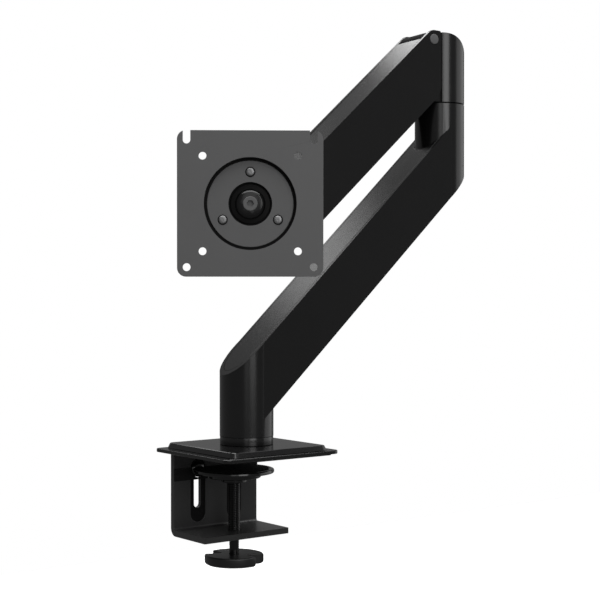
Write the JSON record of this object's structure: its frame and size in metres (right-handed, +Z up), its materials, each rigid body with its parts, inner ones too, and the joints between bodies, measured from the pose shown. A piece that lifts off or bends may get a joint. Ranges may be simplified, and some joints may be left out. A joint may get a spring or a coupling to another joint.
{
  "type": "monitor arm",
  "caption": "Desk-clamped monitor arm: swivelling pole and sloping lower arm, elbow, gas-spring upper arm kept level by a link, tilting and turning VESA plate.",
  "frame": {"origin": "on the desk's surface, on the axis that the pole swivels about", "axes": "+X along the desk's rear edge, -Y towards the person at the desk, +Z up"},
  "size_m": [0.3031, 0.1472, 0.4617],
  "materials": {
    "cast_black": "satin black powder coat on an aluminium casting",
    "plate_black": "satin black powder coat on steel",
    "cover_black": "fine-grained black moulding",
    "rubber_black": "matt",
    "steel_dark": "black oxide",
    "steel_bright": "zinc plated",
    "nylon_white": "natural nylon"
  },
  "bodies": {
    "base": {"desk_pad": "rubber_black", "base_plate": "plate_black", "base_cover": "cover_black", "pole_spindle": "steel_bright", "spindle_bolt": "steel_dark", "pole_ring": "cover_black", "clamp_bracket": "plate_black", "slot_screw_left": "steel_dark", "slot_screw_right": "steel_dark", "edge_strip": "rubber_black"},
    "pressure_disc": {"pressure_disc": "plate_black", "disc_pad": "rubber_black"},
    "clamp_screw": {"clamp_screw": "steel_dark", "clamp_knob": "cover_black"},
    "lower_arm": {"lower_arm": "cast_black", "lower_cover": "cover_black", "pole_bush_low": "nylon_white", "pole_bush_high": "nylon_white", "elbow_bush": "nylon_white", "elbow_plug": "cover_black"},
    "elbow": {"elbow_washer": "nylon_white", "elbow_bracket": "cast_black", "elbow_spindle": "steel_bright", "elbow_disc": "steel_dark", "elbow_nut": "steel_dark", "lift_pin": "steel_dark", "link_pin": "steel_bright", "spring_anchor_pin": "steel_bright"},
    "upper_arm": {"upper_arm": "cast_black", "upper_cover": "cover_black", "end_cap": "cover_black", "spring_cylinder": "steel_dark", "spring_pin": "steel_bright"},
    "spring_rod": {"spring_rod": "steel_bright", "rod_end": "steel_dark"},
    "link": {"parallel_link": "steel_dark"},
    "head_bracket": {"head_bracket": "cast_black", "head_pin": "steel_dark", "head_link_pin": "steel_bright", "swivel_washer": "nylon_white", "swivel_bolt": "steel_dark"},
    "knuckle": {"head_knuckle": "cast_black", "swivel_top_washer": "steel_bright", "tilt_bolt": "steel_dark", "tilt_nut": "steel_dark", "tilt_washer_left": "steel_bright", "tilt_washer_right": "steel_bright"},
    "tilt_head": {"tilt_head": "cast_black", "friction_washer": "nylon_white", "retaining_washer": "steel_dark", "cone_washer": "steel_dark", "centre_bolt": "steel_dark"},
    "plate": {"rotor": "cast_black", "vesa_plate": "plate_black", "dish_screw_top": "steel_bright", "dish_screw_left": "steel_bright", "dish_screw_right": "steel_bright"}
  },
  "joints": [
    {"name": "pole_swivel", "type": "hinge", "parent": "base", "child": "lower_arm", "pos_m": [0, 0, 0.05], "axis": [0, 0, 1], "range_deg": [-180, 180]},
    {"name": "elbow_swivel", "type": "hinge", "parent": "lower_arm", "child": "elbow", "pos_m": [0.19641, -0.02502, 0.3038], "axis": [0, 0, 1], "range_deg": [-170, 170]},
    {"name": "lift", "type": "hinge", "parent": "elbow", "child": "upper_arm", "pos_m": [0.17508, -0.0223, 0.3587], "axis": [0.1264, 0.992, 0], "range_deg": [0, 75]},
    {"name": "spring_slide", "type": "slide", "parent": "upper_arm", "child": "spring_rod", "axis": [0.7231, -0.0921, 0.6845], "range_m": [0, 0.0245]},
    {"name": "link_swing", "type": "hinge", "parent": "elbow", "child": "link", "pos_m": [0.17508, -0.0223, 0.3347], "axis": [0.1264, 0.992, 0], "range_deg": [-1, 76]},
    {"name": "head_level", "type": "hinge", "parent": "upper_arm", "child": "head_bracket", "pos_m": [0.02323, -0.00296, 0.21494], "axis": [0.1264, 0.992, 0], "range_deg": [-76, 1]},
    {"name": "head_swivel", "type": "hinge", "parent": "head_bracket", "child": "knuckle", "pos_m": [0.00367, -0.00047, 0.2053], "axis": [0, 0, 1], "range_deg": [-151, 28]},
    {"name": "tilt", "type": "hinge", "parent": "knuckle", "child": "tilt_head", "pos_m": [-0.01964, -0.03297, 0.2053], "axis": [-0.8126, 0.5828, 0], "range_deg": [-30, 70]},
    {"name": "plate_turn", "type": "hinge", "parent": "tilt_head", "child": "plate", "pos_m": [-0.0313, -0.04922, 0.2053], "axis": [-0.5828, -0.8126, 0], "range_deg": [-90, 90]},
    {"name": "clamp_travel", "type": "slide", "parent": "base", "child": "pressure_disc", "axis": [0, 0, 1], "range_m": [-0.038, 0.012]},
    {"name": "clamp_turn", "type": "hinge", "parent": "pressure_disc", "child": "clamp_screw", "pos_m": [0, 0.0183, -0.05], "axis": [0, 0, 1], "range_deg": [-9140, 2900]}
  ],
  "couplings": [
    {"joint": "spring_slide", "follows": "lift", "m_per_rad": 0.0185},
    {"joint": "link_swing", "follows": "lift", "ratio": 1},
    {"joint": "head_level", "follows": "lift", "ratio": -1},
    {"joint": "clamp_turn", "follows": "clamp_travel", "rad_per_m": 4188.8}
  ]
}
